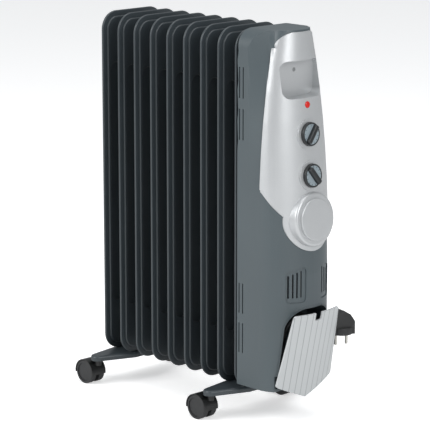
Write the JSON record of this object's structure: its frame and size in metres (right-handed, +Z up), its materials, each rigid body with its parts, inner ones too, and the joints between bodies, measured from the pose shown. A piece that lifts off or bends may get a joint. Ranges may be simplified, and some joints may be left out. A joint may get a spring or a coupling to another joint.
{
  "type": "oil filled radiator heater",
  "caption": "Free-standing finned oil radiator heater on swivel casters, with a control housing, two dials, a pilot lamp and a flap over a wound mains cord.",
  "frame": {"origin": "centre of the footprint on the floor, without the cord", "axes": "+X from the rear fin towards the control end, +Z up"},
  "size_m": [0.4671, 0.222, 0.634],
  "materials": {
    "enamel": "satin enamel",
    "steel": "plain",
    "pin_metal": "plated",
    "insulator": "matt",
    "housing_plastic": "satin",
    "silver_plastic": "silver paint",
    "flap_plastic": "satin",
    "knob_plastic": "satin",
    "lamp_lens": "clear tinted",
    "cord_rubber": "matt",
    "plug_plastic": "matt",
    "caster_plastic": "matt",
    "wheel_plastic": "matt"
  },
  "bodies": {
    "heater": {"fin_1": "enamel", "fin_2": "enamel", "fin_3": "enamel", "fin_4": "enamel", "fin_5": "enamel", "fin_6": "enamel", "fin_7": "enamel", "fin_8": "enamel", "fin_9": "enamel", "header_collars_low": "enamel", "header_collars_top": "enamel", "heating_element": "steel", "oil_filler_plug": "steel", "heat_shield": "steel", "thermal_cutout": "steel", "terminal_block": "insulator", "foot_rear": "enamel", "foot_front": "enamel", "u_bolts": "steel", "wing_nuts": "steel", "stem_sockets": "steel", "caster_stems": "steel", "housing": "housing_plastic", "front_panel": "silver_plastic", "badge_disc": "silver_plastic", "pilot_lens": "lamp_lens", "pilot_lamp_holder": "insulator", "thermostat_body": "insulator", "selector_body": "insulator", "panel_screw": "steel", "cord_bay": "housing_plastic", "winding_hub": "housing_plastic", "hinge_pins": "steel", "strain_relief": "cord_rubber", "cord_coil": "cord_rubber", "cord_lead": "cord_rubber", "plug_body": "plug_plastic", "plug_pins": "pin_metal"},
    "thermostat_dial": {"thermostat_shaft": "steel", "thermostat_knob": "knob_plastic"},
    "selector_dial": {"selector_shaft": "steel", "selector_knob": "knob_plastic"},
    "flap": {"bay_flap": "flap_plastic"},
    "caster_rear_left": {"caster_hood_rear_left": "caster_plastic", "caster_axle_rear_left": "steel"},
    "wheel_rear_left_a": {"wheel_rear_left_a": "wheel_plastic"},
    "wheel_rear_left_b": {"wheel_rear_left_b": "wheel_plastic"},
    "caster_rear_right": {"caster_hood_rear_right": "caster_plastic", "caster_axle_rear_right": "steel"},
    "wheel_rear_right_a": {"wheel_rear_right_a": "wheel_plastic"},
    "wheel_rear_right_b": {"wheel_rear_right_b": "wheel_plastic"},
    "caster_front_left": {"caster_hood_front_left": "caster_plastic", "caster_axle_front_left": "steel"},
    "wheel_front_left_a": {"wheel_front_left_a": "wheel_plastic"},
    "wheel_front_left_b": {"wheel_front_left_b": "wheel_plastic"},
    "caster_front_right": {"caster_hood_front_right": "caster_plastic", "caster_axle_front_right": "steel"},
    "wheel_front_right_a": {"wheel_front_right_a": "wheel_plastic"},
    "wheel_front_right_b": {"wheel_front_right_b": "wheel_plastic"}
  },
  "joints": [
    {"name": "thermostat_turn", "type": "hinge", "parent": "heater", "child": "thermostat_dial", "pos_m": [0.20474, 0, 0.472], "axis": [0.9962, 0, 0.0872], "range_deg": [-110, 170]},
    {"name": "selector_turn", "type": "hinge", "parent": "heater", "child": "selector_dial", "pos_m": [0.21025, 0, 0.407], "axis": [0.9962, 0, 0.0872], "range_deg": [-150, 0]},
    {"name": "flap_hinge", "type": "hinge", "parent": "heater", "child": "flap", "pos_m": [0.19429, 0, 0.072], "axis": [0, 1, 0], "range_deg": [-6, 25]},
    {"name": "caster_rear_left_swivel", "type": "hinge", "parent": "heater", "child": "caster_rear_left", "pos_m": [-0.19146, -0.096, 0.042], "axis": [0, 0, 1], "continuous": true},
    {"name": "wheel_rear_left_a_roll", "type": "hinge", "parent": "caster_rear_left", "child": "wheel_rear_left_a", "pos_m": [-0.21146, -0.096, 0.02], "axis": [0, 1, 0], "continuous": true},
    {"name": "wheel_rear_left_b_roll", "type": "hinge", "parent": "caster_rear_left", "child": "wheel_rear_left_b", "pos_m": [-0.21146, -0.096, 0.02], "axis": [0, 1, 0], "continuous": true},
    {"name": "caster_rear_right_swivel", "type": "hinge", "parent": "heater", "child": "caster_rear_right", "pos_m": [-0.19146, 0.096, 0.042], "axis": [0, 0, 1], "continuous": true},
    {"name": "wheel_rear_right_a_roll", "type": "hinge", "parent": "caster_rear_right", "child": "wheel_rear_right_a", "pos_m": [-0.21146, 0.096, 0.02], "axis": [0, 1, 0], "continuous": true},
    {"name": "wheel_rear_right_b_roll", "type": "hinge", "parent": "caster_rear_right", "child": "wheel_rear_right_b", "pos_m": [-0.21146, 0.096, 0.02], "axis": [0, 1, 0], "continuous": true},
    {"name": "caster_front_left_swivel", "type": "hinge", "parent": "heater", "child": "caster_front_left", "pos_m": [0.08504, -0.096, 0.042], "axis": [0, 0, 1], "continuous": true},
    {"name": "wheel_front_left_a_roll", "type": "hinge", "parent": "caster_front_left", "child": "wheel_front_left_a", "pos_m": [0.06504, -0.096, 0.02], "axis": [0, 1, 0], "continuous": true},
    {"name": "wheel_front_left_b_roll", "type": "hinge", "parent": "caster_front_left", "child": "wheel_front_left_b", "pos_m": [0.06504, -0.096, 0.02], "axis": [0, 1, 0], "continuous": true},
    {"name": "caster_front_right_swivel", "type": "hinge", "parent": "heater", "child": "caster_front_right", "pos_m": [0.08504, 0.096, 0.042], "axis": [0, 0, 1], "continuous": true},
    {"name": "wheel_front_right_a_roll", "type": "hinge", "parent": "caster_front_right", "child": "wheel_front_right_a", "pos_m": [0.06504, 0.096, 0.02], "axis": [0, 1, 0], "continuous": true},
    {"name": "wheel_front_right_b_roll", "type": "hinge", "parent": "caster_front_right", "child": "wheel_front_right_b", "pos_m": [0.06504, 0.096, 0.02], "axis": [0, 1, 0], "continuous": true}
  ]
}
